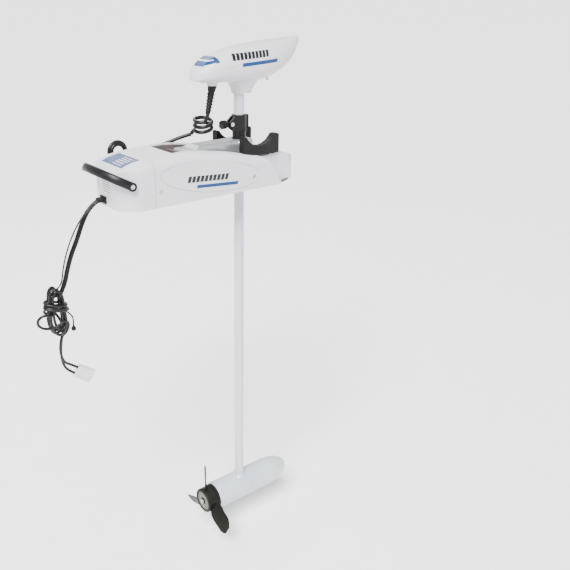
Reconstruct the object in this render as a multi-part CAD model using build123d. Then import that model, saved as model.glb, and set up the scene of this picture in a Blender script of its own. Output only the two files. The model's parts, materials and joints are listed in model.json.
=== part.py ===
from build123d import *
import math
import os

# Bow-mount electric trolling motor with a steering head, in millimetres, +Z up.
# The origin is the centre of the deck bolt pattern, on the underside of the mount's base.
# +X points over the bow, where the shaft hangs down; -Y is the near side.

# ---------------------------------------------------------------- driving dimensions
SHAFT_X = 130.0            # shaft axis, forward of the bolt pattern's centre
SHAFT_R = 14.3             # 1 1/8 inch tube
SHAFT_WALL = 2.6
SHAFT_TOP = 262.0
MOTOR_Z = -1050.0          # axis of the lower unit
MOTOR_R = 44.5
RUN = 0.07                 # radial clearance of a running fit
GAP = 0.3                  # space between separate parts
SEAM = 1.2                 # open seam between two outside mouldings
NOSE_INSET = 4.0           # how far the bow nose lies inside the side covers
SKIN = 3.0                 # moulded wall

MOUNT_AFT = -282.0
MOUNT_HALF = 92.0
AFT_CORNER_R = 58.0
BOW_X = 190.0              # where the straight sides end and the rounded bow begins
BOW_REACH = 112.0
COWL_X = -194.0            # seam between the aft cowl and the side covers
COWL_LIP_X = -122.0        # the cowl's forward lip over the channel
CHANNEL_HALF = 55.0
SEAM_R = 110.0             # curved seam between a side cover and the bow nose
SEAM_CENTRE = (93.0, -16.0)
SLOT_HALF = 32.0           # open slot that the shaft swings out through
BOSS_CLEAR_R = 42.0

# mount's outside height and shoulder radius along X
MOUNT_STATIONS = [
    (-292, 76, 22), (-262, 103, 26), (-230, 113, 26), (-180, 118, 26), (-120, 122, 26),
    (-60, 121, 26), (-10, 114, 26), (50, 104, 26), (115, 89, 24), (185, 84, 22),
    (245, 82, 20), (280, 62, 18), (306, 22, 10),
]

PIVOT = (-48.0, 102.0)     # tilt pin, x and z
PIVOT_R = 6.0
ARM_HALF = 31.0
ARM_TOP = 122.0
ARM_BOTTOM = 82.0
BOSS_R = 38.0
BOSS_TOP = 120.0
SLEEVE_R = 17.5
RING_R = 18.5
RING_TOP = 140.0
WHEEL_TEETH = 36
WHEEL_R = 26.0
TOOTH = 2.0
WORM_R = 6.5
WORM_X = SHAFT_X - WHEEL_R - TOOTH - WORM_R - GAP
WORM_Z = 99.0
GEAR_R = 11.0
PINION_R = 9.0
DRIVE_X = WORM_X - GEAR_R - PINION_R - 2 * 1.5 - GAP

COLLAR_Z = (140.3, 186.0)
COLLAR_R = 20.0
CLAMP_Z = 163.0

REST_Y = (52.0, 72.0)      # motor rest, inner and outer face
REST_X = (92.0, 213.0)
REST_Z = (84.0, 137.0)
CRADLE_R = 54.0
CRADLE_CENTRE = (148.0, 164.0)

HANDLE_PIVOT = (-258.0, 66.0)
HANDLE_HALF = 93.0
HANDLE_APEX = (-318.0, 100.0)

LEAD_R = 3.5               # each power lead
SENSE_R = 2.0              # thin accessory lead
HEAD_CORD_R = 4.25

PROP_R = 123.0
PROP_X = (-19.0, 19.0)
PROP_HUB_R = 40.0
FIRST_BLADE = 12.0         # degrees from straight up

BOLT_X = 150.0             # deck bolts at (+-BOLT_X, +-BOLT_Y)
BOLT_Y = 62.0
BOLT_R = 4.25


# ---------------------------------------------------------------- helpers
def rod(axis, radius, start, end, u=0.0, v=0.0):
    """Cylinder along an axis from start to end; u and v are its place on the other two axes."""
    length = end - start
    body = Cylinder(radius, length, align=(Align.CENTER, Align.CENTER, Align.MIN))
    if axis == "X":
        return Pos(start, u, v) * Rot(0, 90, 0) * body
    if axis == "Y":
        return Pos(u, start, v) * Rot(-90, 0, 0) * body
    return Pos(u, v, start) * body


def tube(axis, outer, inner, start, end, u=0.0, v=0.0):
    return rod(axis, outer, start, end, u, v) - rod(axis, inner, start - 1, end + 1, u, v)


def block(x0, x1, y0, y1, z0, z1):
    return Pos((x0 + x1) / 2, (y0 + y1) / 2, (z0 + z1) / 2) * Box(x1 - x0, y1 - y0, z1 - z0)


def across(x):
    """Plane across the object at x, with Y to its right and Z up."""
    return Plane(origin=(x, 0, 0), x_dir=(0, 1, 0), z_dir=(1, 0, 0))


def mirrored(shape):
    return mirror(shape, about=Plane.XZ)


# ---------------------------------------------------------------- mount
def bow_plan(inset):
    return Plane.XY * Pos(BOW_X, 0) * Ellipse(BOW_REACH - inset, MOUNT_HALF - inset)


def mount_block(inset):
    """The mount's whole outside shape, drawn in by inset."""
    sections = []
    for x, top, radius in MOUNT_STATIONS:
        height = top - inset
        half = MOUNT_HALF - inset
        face = across(x) * Pos(0, height / 2) * Rectangle(2 * half, height)
        shoulders = face.vertices().sort_by(Axis.Z)[-2:]
        sections.append(fillet(shoulders, radius - inset).faces()[0])
    body = loft(sections)
    aft = MOUNT_AFT + inset
    plan = block(aft, BOW_X, inset - MOUNT_HALF, MOUNT_HALF - inset, 0, 140)
    corners = plan.edges().filter_by(Axis.Z).sort_by(Axis.X)[:2]
    plan = fillet(corners, AFT_CORNER_R - inset)
    return body & (plan + extrude(bow_plan(inset), 140))


def seam_drum(radius):
    """What lies aft of the curved seam between side cover and nose."""
    x, z = SEAM_CENTRE
    return rod("Y", radius, -100, 100, x, z) + block(-400, x, -100, 100, -5, 150)


def shaft_slot(half):
    """Slot open to the bow, with a round inner end, and a wider well for the spindle boss."""
    slot = block(SHAFT_X, 330, -half, half, -5, 150)
    slot += rod("Z", half, -5, 150, SHAFT_X, 0)
    return slot + rod("Z", BOSS_CLEAR_R + half - SLOT_HALF, 70, 150, SHAFT_X, 0)


COVER_SCREWS = [(-178.0, 40.0), (113.0, 34.0)]

outer = mount_block(0)
shell = outer - mount_block(SKIN)

# side covers
cover_zone = block(COWL_X + SEAM, 300, -100, -CHANNEL_HALF, 0, 150) & seam_drum(SEAM_R)
near_cover = shell & cover_zone
near_cover -= shaft_slot(SLOT_HALF + 4)
oval_at = Plane.XZ * Pos(-22, 56) * Rot(0, 0, -8)
oval = oval_at * Ellipse(158, 42)
groove = extrude(oval, amount=MOUNT_HALF + 1) - extrude(oval, amount=MOUNT_HALF - 1.2)
oval_inner = oval_at * Ellipse(155.8, 39.8)
groove -= extrude(oval_inner, amount=MOUNT_HALF + 2)
near_cover -= groove
for x, z in COVER_SCREWS:
    near_cover += rod("Y", 9, -MOUNT_HALF + 1, -74, x, z)
    near_cover -= rod("Y", 6.2, -MOUNT_HALF - 1, -86, x, z)
    near_cover -= rod("Y", 3.2, -MOUNT_HALF - 1, -70, x, z)
far_cover = mirrored(near_cover)

# aft cowl
cowl_zone = block(-300, COWL_X, -100, 100, 0, 150)
cowl_zone += block(-300, COWL_LIP_X, -CHANNEL_HALF + GAP, CHANNEL_HALF - GAP, 60, 150)
aft_cowl = shell & cowl_zone
gland_y, gland_z = 15.0, 16.0
aft_cowl -= block(-300, -270, gland_y - 14, gland_y + 9, gland_z - 6, gland_z + 6)
hx, hz = HANDLE_PIVOT
for side in (-1, 1):
    lug = rod("Y", 8, 60, HANDLE_HALF - 5, hx, hz)
    aft_cowl += lug if side > 0 else mirrored(lug)
aft_cowl -= rod("Y", 3.0 + RUN, -100, 100, hx, hz)
CORD_GLAND = (-232.0, 80.0)

# bow nose, one moulding each side of the slot
inside = mount_block(SKIN + 1)
nose_outer = mount_block(NOSE_INSET)
nose_shell = nose_outer - mount_block(NOSE_INSET + SKIN)
slot_wall = nose_outer & block(100, 300, -SLOT_HALF - 4, -SLOT_HALF, 0, 150)
boss_wall = nose_outer & tube("Z", BOSS_CLEAR_R + 3, BOSS_CLEAR_R, 70, 150, SHAFT_X, 0)
nose = (nose_shell + slot_wall + boss_wall) - seam_drum(SEAM_R + SEAM)
nose &= block(0, 330, -100, -SLOT_HALF, 0, 150)
nose -= shaft_slot(SLOT_HALF)
flute_at = Pos(222, -114, 52) * Rot(0, -44, 0)
flute = flute_at * Cylinder(50, 260)
nose_full = (nose_outer & block(0, 330, -100, -SLOT_HALF, 0, 150)) - seam_drum(SEAM_R + SEAM)
nose_backing = nose_full & (flute_at * Cylinder(50 + SKIN, 260))
nose = (nose + nose_backing - shaft_slot(SLOT_HALF)) - flute
nose -= extrude(bow_plan(NOSE_INSET + SKIN + 1), 5 + GAP)
bow_nose_near = nose.solids().sort_by(SortBy.VOLUME)[-1]
bow_nose_far = mirrored(bow_nose_near)

# base channel: floor, inner walls, ribs and posts, one casting
floor_plan = block(MOUNT_AFT + 5, BOW_X, -MOUNT_HALF + 5, MOUNT_HALF - 5, 0, 5)
floor_plan = fillet(floor_plan.edges().filter_by(Axis.Z).sort_by(Axis.X)[:2], AFT_CORNER_R - 5)
bow_floor = extrude(bow_plan(NOSE_INSET + SKIN + 1.3), 5)
base = floor_plan + bow_floor - shaft_slot(SLOT_HALF + 5)
for side in (-1, 1):
    wall = block(-118, 86, 50.5, 54.5, 4, 150) & inside
    base += wall if side > 0 else mirrored(wall)
for x in (-118.0, -96.0, -74.0):
    rib = block(x, x + 4, -51, 51, 4, 110)
    base += rib & inside
base += block(-118, -70, -3, 3, 4, 84)
for x, z in COVER_SCREWS:
    post = rod("Y", 8, -73.7, -50, x, z) + block(x - 4, x + 4, -73.7, -50, 4, z)
    post -= rod("Y", 2.9, -74, -56, x, z)
    if x > 86:
        post -= block(x - 12, x + 12, -51, -40, 0, 60)
    base += post
    base += mirrored(post)
for x in (-BOLT_X, BOLT_X):
    for y in (-BOLT_Y, BOLT_Y):
        base += rod("Z", 9, 0, 8, x, y)
        base -= rod("Z", BOLT_R, -1, 9, x, y)
base -= rod("Y", PIVOT_R + RUN, -60, 60, PIVOT[0], PIVOT[1])
base -= rod("X", 6.0 + RUN, -130, -60, 0, 98)
base_channel = base.solids().sort_by(SortBy.VOLUME)[-1]

# motor rests
rest_x = block(REST_X[0], REST_X[1], -REST_Y[1], -REST_Y[0], REST_Z[0] - 20, REST_Z[1])
rest = rest_x - rod("Y", CRADLE_R, -100, 0, CRADLE_CENTRE[0], CRADLE_CENTRE[1])
horns = rest.edges().filter_by(Axis.Y).group_by(Axis.Z)[-1]
rest = fillet(horns, 5)
rest -= mount_block(-GAP)
motor_rest_near = rest.solids().sort_by(SortBy.VOLUME)[-1]
motor_rest_far = mirrored(motor_rest_near)


# ---------------------------------------------------------------- tilt arm
def tilt_arm_solid():
    px = PIVOT[0]
    mid_z = (ARM_TOP + ARM_BOTTOM) / 2
    bar = Plane(origin=(px, 0, 0), x_dir=(0, 1, 0), z_dir=(1, 0, 0))
    face = bar * Pos(0, mid_z) * RectangleRounded(2 * ARM_HALF, ARM_TOP - ARM_BOTTOM, 12)
    arm = extrude(face, SHAFT_X - px - 8)
    end = rod("Y", (ARM_TOP - ARM_BOTTOM) / 2, -ARM_HALF, ARM_HALF, px, mid_z)
    arm += fillet(end.edges().filter_by(GeomType.CIRCLE), 8)
    boss = rod("Z", BOSS_R, ARM_BOTTOM, BOSS_TOP, SHAFT_X, 0)
    arm += fillet(boss.edges().filter_by(GeomType.CIRCLE).sort_by(Axis.Z)[-1:], 6)
    scoop = Plane.XZ * Polyline((px - 25, ARM_TOP + 2), (px + 34, ARM_TOP + 2), (px + 16, ARM_TOP - 8),
                                (px - 25, ARM_TOP - 9), close=True)
    arm -= extrude(make_face(scoop), 40, both=True)
    cavity = block(px + 28, WORM_X + 14, -26, 26, ARM_BOTTOM - 1, 114)
    cavity += rod("Z", WHEEL_R + TOOTH + 3, ARM_BOTTOM - 1, 106, SHAFT_X, 0)
    arm -= cavity
    arm -= rod("Z", 22, ARM_BOTTOM, ARM_TOP + 1, SHAFT_X, 0)
    arm -= rod("Y", PIVOT_R + 3, -40, 40, px, mid_z)
    return arm


tilt_arm = tilt_arm_solid()
tilt_pin = rod("Y", PIVOT_R, -54.5, 54.5, *PIVOT) + rod("Y", 9, -57.5, -54.6, *PIVOT)
tilt_pin += rod("Y", 9, 54.6, 57.5, *PIVOT)
tilt_pin &= mount_block(SKIN + 0.2) + rod("Y", PIVOT_R, -54.5, 54.5, *PIVOT)
arm_bushes = [tube("Y", PIVOT_R + 3, PIVOT_R + RUN, a, b, *PIVOT) for a, b in ((-31, -12), (12, 31))]
upper_bush = tube("Z", 22, SLEEVE_R + RUN, 108, BOSS_TOP, SHAFT_X, 0)
cover_plate = block(PIVOT[0] + 29, WORM_X + 13, -25, 25, ARM_BOTTOM, ARM_BOTTOM + 3)
cover_plate += rod("Z", WHEEL_R + TOOTH + 2.5, ARM_BOTTOM, ARM_BOTTOM + 3, SHAFT_X, 0)
gearbox_cover = cover_plate - rod("Z", 21, 70, 100, SHAFT_X, 0)
lower_bush = tube("Z", 21, SLEEVE_R + RUN, ARM_BOTTOM, 91, SHAFT_X, 0)
steer_motor = rod("Y", 13.5, -25, 12, DRIVE_X - 8, 99) + rod("Y", 8, 12, 16, DRIVE_X - 8, 99)
steer_motor &= block(-20, DRIVE_X + 2.2, -30, 20, 85.5, 113)
steer_motor -= rod("Y", 2.6, 5, 20, DRIVE_X, WORM_Z)


# ---------------------------------------------------------------- steering drive
def toothed(axis, radius, teeth, tooth, start, end, u, v, bore):
    """Disc with straight teeth, width start to end along its axis."""
    wheel = rod(axis, radius, start, end, u, v)
    width = math.pi * (radius + tooth) / teeth * 0.8
    for i in range(teeth):
        turn = 360.0 * i / teeth
        mid = (start + end) / 2
        if axis == "Z":
            place = Pos(u, v, mid) * Rot(0, 0, turn) * Pos(radius, 0, 0)
            wheel += place * Box(2 * tooth, width, end - start)
        else:
            place = Pos(u, mid, v) * Rot(0, turn, 0) * Pos(radius, 0, 0)
            wheel += place * Box(2 * tooth, end - start, width)
    return wheel - rod(axis, bore, start - 1, end + 1, u, v)


sleeve = tube("Z", SLEEVE_R, SHAFT_R + RUN, ARM_BOTTOM, RING_TOP, SHAFT_X, 0)
ring = tube("Z", RING_R, SLEEVE_R - 1, BOSS_TOP + 0.4, RING_TOP, SHAFT_X, 0)
for z in (125.0, 131.0):
    ring -= tube("Z", RING_R + 1, RING_R - 0.8, z, z + 1.5, SHAFT_X, 0)
spindle_sleeve = sleeve + ring
worm_wheel = toothed("Z", WHEEL_R, WHEEL_TEETH, TOOTH, 94, 104, SHAFT_X, 0, SLEEVE_R)
worm = rod("Y", 3.0, -23.5, 23.5, WORM_X, WORM_Z)
for i in range(9):
    y = -12.0 + 3.0 * i
    worm += rod("Y", WORM_R, y - 0.8, y + 0.8, WORM_X, WORM_Z)
worm += toothed("Y", GEAR_R, 22, 1.5, 17.0, 21.0, WORM_X, WORM_Z, 2.5)
motor_pinion = toothed("Y", PINION_R, 18, 1.5, 17.0, 21.0, DRIVE_X, WORM_Z, 2.0)
motor_pinion += rod("Y", 2.5, 6.0, 23.0, DRIVE_X, WORM_Z)
worm_bearings = [tube("Y", 6, 3.0 + RUN, a, b, WORM_X, WORM_Z) for a, b in ((-25.8, -19), (22, 25.8))]


# ---------------------------------------------------------------- depth collar
def depth_collar():
    """Two clamp halves hinged on +X and drawn together by a swing bolt on -X."""
    z0, z1 = COLLAR_Z
    ring_full = tube("Z", COLLAR_R, SHAFT_R + RUN, z0, z1, SHAFT_X, 0)
    lip = tube("Z", COLLAR_R + 1.5, SHAFT_R + RUN, z0 + 4, z0 + 7, SHAFT_X, 0)
    flange = block(SHAFT_X + 16, SHAFT_X + 28, -7, 7, z0 + 2, z1 - 2)
    ears = Plane.XZ * Polyline(
        (SHAFT_X - 12, z1 - 2), (SHAFT_X - 20, z1 - 3), (SHAFT_X - 37, CLAMP_Z + 5),
        (SHAFT_X - 37, CLAMP_Z - 6), (SHAFT_X - 20, z0 + 3), (SHAFT_X - 12, z0 + 2), close=True)
    ears = Pos(0, 11, 0) * extrude(make_face(ears), 22)
    ears -= block(SHAFT_X - 40, SHAFT_X - COLLAR_R - 1, -5, 5, z0, z1)
    whole = ring_full + lip + flange + ears
    whole -= rod("Z", SHAFT_R + RUN, z0 - 5, z1 + 5, SHAFT_X, 0)
    whole -= rod("Z", 2.5, z0, z1, SHAFT_X + 23.5, 0)
    whole -= rod("Y", 3.2, -20, 20, SHAFT_X - 31, CLAMP_Z)
    near = whole & block(0, 300, -60, -0.4, z0 - 1, z1 + 1)
    far = whole & block(0, 300, 0.4, 60, z0 - 1, z1 + 1)
    return near.solids().sort_by(SortBy.VOLUME)[-1], far.solids().sort_by(SortBy.VOLUME)[-1]


collar_near, collar_far = depth_collar()
collar_hinge_pin = rod("Z", 2.5, COLLAR_Z[0] + 1, COLLAR_Z[1] - 1, SHAFT_X + 23.5, 0)
collar_cross_pin = rod("Y", 3.2, -11.5, 11.5, SHAFT_X - 31, CLAMP_Z)
collar_cross_pin += rod("Y", 5.5, -14, -11.5, SHAFT_X - 31, CLAMP_Z)
collar_cross_pin -= rod("X", 2.6, SHAFT_X - 45, SHAFT_X - 20, 0, CLAMP_Z)
collar_bolt = rod("X", 2.6, SHAFT_X - 58, SHAFT_X - 25, 0, CLAMP_Z)
knob = rod("X", 11.5, SHAFT_X - 60, SHAFT_X - 46, 0, CLAMP_Z)
for i in range(6):
    turn = math.radians(60 * i)
    knob -= rod("X", 3.6, SHAFT_X - 62, SHAFT_X - 45, 13.5 * math.cos(turn), CLAMP_Z + 13.5 * math.sin(turn))
knob += rod("X", 6.5, SHAFT_X - 46, SHAFT_X - 37.4, 0, CLAMP_Z)
collar_knob = knob - rod("X", 2.6 + RUN, SHAFT_X - 58, SHAFT_X - 30, 0, CLAMP_Z)


# ---------------------------------------------------------------- shaft and lower unit
shaft_tube = tube("Z", SHAFT_R, SHAFT_R - SHAFT_WALL, MOTOR_Z + 42, SHAFT_TOP, SHAFT_X, 0)
motor_cable = rod("Z", 4.5, MOTOR_Z + 42, SHAFT_TOP + 8, SHAFT_X, 0)

CASE_X = (74.0, 236.0)
BELL_X = 26.0
NOSE_TIP = 328.0


def motor_case_solid():
    a, b = CASE_X
    case = rod("X", MOTOR_R, a, b, 0, MOTOR_Z)
    socket_profile = Plane(origin=(SHAFT_X, 0, 0), x_dir=(1, 0, 0), z_dir=(0, -1, 0))
    outline = Polyline((0, MOTOR_Z + 20), (26, MOTOR_Z + 38), (19.5, MOTOR_Z + 44.5),
                       (17.6, MOTOR_Z + 50), (17.2, MOTOR_Z + 58), (0, MOTOR_Z + 58), close=True)
    case += revolve(socket_profile * make_face(outline), Axis((SHAFT_X, 0, 0), (0, 0, 1)))
    case -= rod("X", MOTOR_R - 3.5, a - 1, b + 1, 0, MOTOR_Z)
    case -= rod("Z", SHAFT_R, MOTOR_Z + 42, MOTOR_Z + 70, SHAFT_X, 0)
    return case - rod("Z", 5, MOTOR_Z + 20, MOTOR_Z + 43, SHAFT_X, 0)


motor_case = motor_case_solid()


def rear_bell_solid():
    bell = rod("X", MOTOR_R, BELL_X, CASE_X[0] - 0.2, 0, MOTOR_Z)
    rim = bell.edges().filter_by(GeomType.CIRCLE).sort_by(Axis.X)[:1]
    bell = fillet(rim, 5)
    bell += rod("X", MOTOR_R - 4, CASE_X[0] - 1, CASE_X[0] + 7, 0, MOTOR_Z)
    bell -= rod("X", MOTOR_R - 8, BELL_X + 16, CASE_X[0] + 8, 0, MOTOR_Z)
    bell -= rod("X", 14, BELL_X + 5, BELL_X + 17, 0, MOTOR_Z)
    bell -= rod("X", 9, BELL_X - 1, BELL_X + 6, 0, MOTOR_Z)
    for side in (-1, 1):
        bell -= rod("X", 2.3, BELL_X + 16, CASE_X[0] + 8, side * 37.6, MOTOR_Z)
    z = MOTOR_Z - MOTOR_R
    fin = Plane.XZ * Polyline((44, z + 6), (86, z + 6), (84, z - 6), (70, z - 28),
                              (60, z - 28), (50, z - 8), close=True)
    fin = Pos(0, 3, 0) * extrude(make_face(fin), 6)
    fin -= rod("X", MOTOR_R - 3, CASE_X[0] - 0.2, 120, 0, MOTOR_Z)
    fin -= rod("X", MOTOR_R + 0.3, CASE_X[0] - 0.2, 120, 0, MOTOR_Z)
    fin -= rod("X", MOTOR_R - 3, BELL_X, CASE_X[0], 0, MOTOR_Z)
    return bell + fin


rear_end_bell = rear_bell_solid()


def nose_cone_solid():
    """Bullet nose: a quarter ellipse turned about the motor axis."""
    start = CASE_X[1] + 0.2
    length = NOSE_TIP - start
    plane = Plane(origin=(start, 0, MOTOR_Z), x_dir=(1, 0, 0), z_dir=(0, -1, 0))

    def bullet(reach, radius):
        arc = EllipticalCenterArc((0, 0), reach, radius, start_angle=0, arc_size=90)
        edges = [Line((0, 0), (reach, 0)), arc, Line((0, radius), (0, 0))]
        face = plane * make_face(edges)
        return revolve(face, Axis((start, 0, MOTOR_Z), (1, 0, 0)))

    cone = bullet(length, MOTOR_R) - bullet(length - 7, MOTOR_R - 5)
    plug = rod("X", MOTOR_R - 4, start - 7, start + 6, 0, MOTOR_Z)
    plug -= rod("X", 13, start - 8, start + 2, 0, MOTOR_Z)
    return cone + plug


nose_cone = nose_cone_solid()

armature_shaft = rod("X", 5, -24, CASE_X[1] + 0.5, 0, MOTOR_Z)
armature_shaft -= rod("Y", 2.5, -10, 10, 12, MOTOR_Z)
core = rod("X", 33, 100, 190, 0, MOTOR_Z)
for i in range(12):
    turn = 30.0 * i
    slot = Pos(145, 0, MOTOR_Z) * Rot(turn, 0, 0) * Pos(0, 0, 29) * Box(92, 3, 12)
    core -= slot
core += rod("X", 9, 189, 197, 0, MOTOR_Z) + rod("X", 13, 196, 218, 0, MOTOR_Z)
armature = core - rod("X", 5, 90, 220, 0, MOTOR_Z)
brush_ring = tube("X", 38, 26, 202, 212, 0, MOTOR_Z)
for side in (-1, 1):
    brush_ring += block(203, 211, -4, 4, MOTOR_Z + side * 20 - 6.5, MOTOR_Z + side * 20 + 6.5)
brush_holder = brush_ring - rod("X", 13.3, 200, 215, 0, MOTOR_Z)
for side in (-1, 1):
    brush_holder -= rod("X", 3.2, 200, 215, side * 36.5, MOTOR_Z)


def magnet(side):
    ring_part = tube("X", 40.9, 34.5, 102, 188, 0, MOTOR_Z)
    return ring_part & (Pos(145, 0, MOTOR_Z + side * 22.5) * Box(90, 58, 45))


magnets = [magnet(1), magnet(-1)]
through_bolts = [rod("X", 2.2, BELL_X + 16.5, CASE_X[1] - 7.2, s * 37.6, MOTOR_Z) for s in (-1, 1)]
rear_bearing = tube("X", 14, 5, BELL_X + 5, BELL_X + 16, 0, MOTOR_Z)
nose_bearing = tube("X", 13, 5, CASE_X[1] - 7, CASE_X[1] + 2, 0, MOTOR_Z)
shaft_seal = tube("X", 9, 5 + RUN, BELL_X, BELL_X + 5, 0, MOTOR_Z)


def blade(turn):
    """One weed-shedding blade: flat plates that widen, sweep back and turn to a finer pitch."""
    stations = [(36, 15, 42, 0, 6.0), (62, 26, 34, -3, 5.0), (92, 27, 27, -9, 3.6),
                (PROP_R, 13, 21, -17, 1.8)]
    faces = []
    for radius, half_chord, pitch, sweep, thick in stations:
        plane = Plane(origin=(0, sweep, radius), x_dir=(1, 0, 0), z_dir=(0, 0, 1))
        faces.append((plane * Rot(0, 0, 90 - pitch) * Ellipse(half_chord, thick / 2)).faces()[0])
    return Pos(0, 0, MOTOR_Z) * Rot(-turn, 0, 0) * loft(faces)


def propeller_solid():
    a, b = PROP_X
    hub = rod("X", PROP_HUB_R, a, b, 0, MOTOR_Z)
    hub = fillet(hub.edges().filter_by(GeomType.CIRCLE), 4)
    hub += rod("X", 41.5, b - 2, BELL_X - 0.6, 0, MOTOR_Z)
    for i in range(3):
        hub += blade(FIRST_BLADE + 120 * i)
    hub -= rod("X", 31, a - 1, a + 9, 0, MOTOR_Z)
    hub -= rod("X", 5, a, BELL_X, 0, MOTOR_Z)
    hub -= rod("Y", 2.5, -9, 9, 12, MOTOR_Z)
    return hub


propeller = propeller_solid()
drive_pin = rod("Y", 2.5, -9, 9, 12, MOTOR_Z)
prop_ring = tube("X", 30.6, 12, -17, -10.2, 0, MOTOR_Z)
prop_nut = Plane(origin=(-22, 0, MOTOR_Z), x_dir=(0, 1, 0), z_dir=(1, 0, 0)) * RegularPolygon(8, 6)
prop_nut = extrude(prop_nut, 11.5) - rod("X", 5, -30, 0, 0, MOTOR_Z)


# ---------------------------------------------------------------- head
# x, underside, top, half width of the housing
HEAD_STATIONS = [
    (-17, 283, 296, 17), (-4, 280, 314, 31), (20, 278, 334, 43), (60, 276, 349, 52),
    (110, 275, 360, 57), (160, 274, 367, 58), (205, 277, 372, 55), (252, 293, 375, 46),
    (292, 317, 378, 32), (315, 342, 380, 19), (330, 366, 381, 9),
]
SEAM_SLOPE = math.degrees(math.atan2(66, 287))


def head_block(inset):
    faces = []
    for x, low, high, half in HEAD_STATIONS:
        height = high - low - 2 * inset
        width = 2 * (half - inset)
        radius = 0.46 * min(height, width)
        shape = across(x) * Pos(0, (low + high) / 2) * RectangleRounded(width, height, radius)
        faces.append(shape.faces()[0])
    return loft(faces)


def above_seam(lift):
    """Everything over the slanting seam between the head's two covers."""
    slab = Box(900, 200, 300, align=(Align.CENTER, Align.CENTER, Align.MIN))
    return Pos(10, 0, 303 + lift) * Rot(0, -SEAM_SLOPE, 0) * slab


head_outer = head_block(0)
head_inner = head_block(SKIN) & block(-8, 318, -100, 100, 200, 400)
head_shell = head_outer - head_inner
head_top_cover = head_shell & above_seam(0.2)
head_low = head_shell - above_seam(-0.2)
GROMMET_X = 43.0
NECK_X = 140.0
head_low -= rod("Z", 12, 260, 290, GROMMET_X, 0)
head_low -= rod("Z", SHAFT_R + 3, 260, 300, SHAFT_X, 0)
head_bottom_cover = head_low.solids().sort_by(SortBy.VOLUME)[-1]
head_top_cover = head_top_cover.solids().sort_by(SortBy.VOLUME)[-1]

neck_low = (Plane.XY.offset(246) * Pos(NECK_X - 2, 0) * Ellipse(28, 24)).faces()[0]
neck_mid = (Plane.XY.offset(262) * Pos(NECK_X, 0) * Ellipse(37, 31)).faces()[0]
neck_top = (Plane.XY.offset(290) * Pos(NECK_X + 1, 0) * Ellipse(55, 42)).faces()[0]
neck = loft([neck_low, neck_mid, neck_top]) - head_outer
neck += Plane.XY.offset(243) * extrude(Pos(NECK_X - 2, 0) * Ellipse(29, 25), 3.5)
neck -= rod("Z", SHAFT_R, 200, 300, SHAFT_X, 0)
head_neck = neck.solids().sort_by(SortBy.VOLUME)[-1]

head_board = block(20, 190, -36, 36, 304, 306)
head_board &= head_block(SKIN + 3)
head_board += block(90, 130, -20, 20, 305.5, 316)
for a, b, c, d in ((28, 44, -22, -6), (54, 78, 4, 26), (150, 176, -24, 8)):
    head_board += block(a, b, c, d, 305.5, 310)
cord_grommet = tube("Z", 14.5, 11.9, 268, 276.5, GROMMET_X, 0) - head_outer
cord_grommet += tube("Z", 12, 8, 268, 284, GROMMET_X, 0)

RELIEF_TOP = (43.0, 0.0, 268.0)
RELIEF_END = (27.0, 0.0, 196.0)


def strain_relief_solid():
    """Black boot and a stack of bending ribs, leaning aft."""
    x0, _, z0 = RELIEF_TOP
    x1, _, z1 = RELIEF_END
    lean = math.degrees(math.atan2(x0 - x1, z0 - z1))
    length = math.hypot(x0 - x1, z0 - z1)
    boot = Pos(0, 0, -16) * Cone(9.5, 12.5, 16, align=(Align.CENTER, Align.CENTER, Align.MIN))
    boot += Pos(0, 0, -length) * Cone(6.2, 9, length - 10, align=(Align.CENTER, Align.CENTER, Align.MIN))
    for i in range(6):
        z = -22.5 - 8.2 * i
        boot += Pos(0, 0, z) * Cone(11.2 - 0.45 * i, 9.4 - 0.45 * i, 4)
    placed = Pos(x0, 0, z0) * Rot(0, lean, 0) * boot
    placed -= block(0, 100, -20, 20, z0 - 0.5, z0 + 30)
    return placed + rod("Z", 7.5, z0 - 4, z0 + 12, x0, 0)


cord_strain_relief = strain_relief_solid().solids().sort_by(SortBy.VOLUME)[-1]
HEAD_SCREWS = [(30, 26), (30, -26), (200, 34), (200, -34)]


def head_screw(x, y):
    low = 268 if x < 100 else 270
    return rod("Z", 2.0, low + 6, low + 36, x, y) + rod("Z", 4.5, low + 4, low + 7, x, y)


head_screws = [head_screw(x, y) for x, y in HEAD_SCREWS]
for screw in head_screws:
    head_bottom_cover -= screw
    head_board -= screw
head_bottom_cover = head_bottom_cover.solids().sort_by(SortBy.VOLUME)[-1]
head_board = head_board.solids().sort_by(SortBy.VOLUME)[-1]


# ---------------------------------------------------------------- cords
def turns_of(points):
    found = []
    for a, b, c in zip(points, points[1:], points[2:]):
        before, after = Vector(b) - Vector(a), Vector(c) - Vector(b)
        half = math.radians(before.get_angle(after)) / 2
        found.append(0.45 * min(before.length, after.length) / math.tan(half))
    return found


def trimmed(cord, *others):
    """The cord without what lies inside the pieces that it meets, so that it ends on their faces."""
    for other in others:
        cord -= other
    return cord.solids().sort_by(SortBy.VOLUME)[-1]


def cord_tube(name, points, radius):
    """Round cord along straight runs joined by arcs as large as the runs allow."""
    radii = turns_of(points)
    path = FilletPolyline(*points, radius=radii) if radii else Line(*points)
    solid = sweep(path.location_at(0) * Circle(radius), path=path)
    share = solid.volume / (math.pi * radius**2 * path.length)
    print(f"{name}: {path.length:.0f} mm, volume share {share:.3f}, radii {[round(r) for r in radii]}")
    return solid


POWER_X0 = -300.0
HANK_BOX = (-495.0, -404.0, -8.0, 40.0, -330.0, -178.0)
power_gland = block(POWER_X0, -270, gland_y - 12.5, gland_y + 7.5, gland_z - 5.5, gland_z + 5.5)
power_gland = fillet(power_gland.edges().filter_by(Axis.X), 4)
power_gland += block(-286, MOUNT_AFT - 0.2, gland_y - 17, gland_y + 12, gland_z - 9, gland_z + 9)
cable_hank = block(*HANK_BOX)
cable_hank = fillet(cable_hank.edges().filter_by(Axis.Y), 18)
power_gland -= block(-400, POWER_X0, -50, 50, -50, 50)

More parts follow.
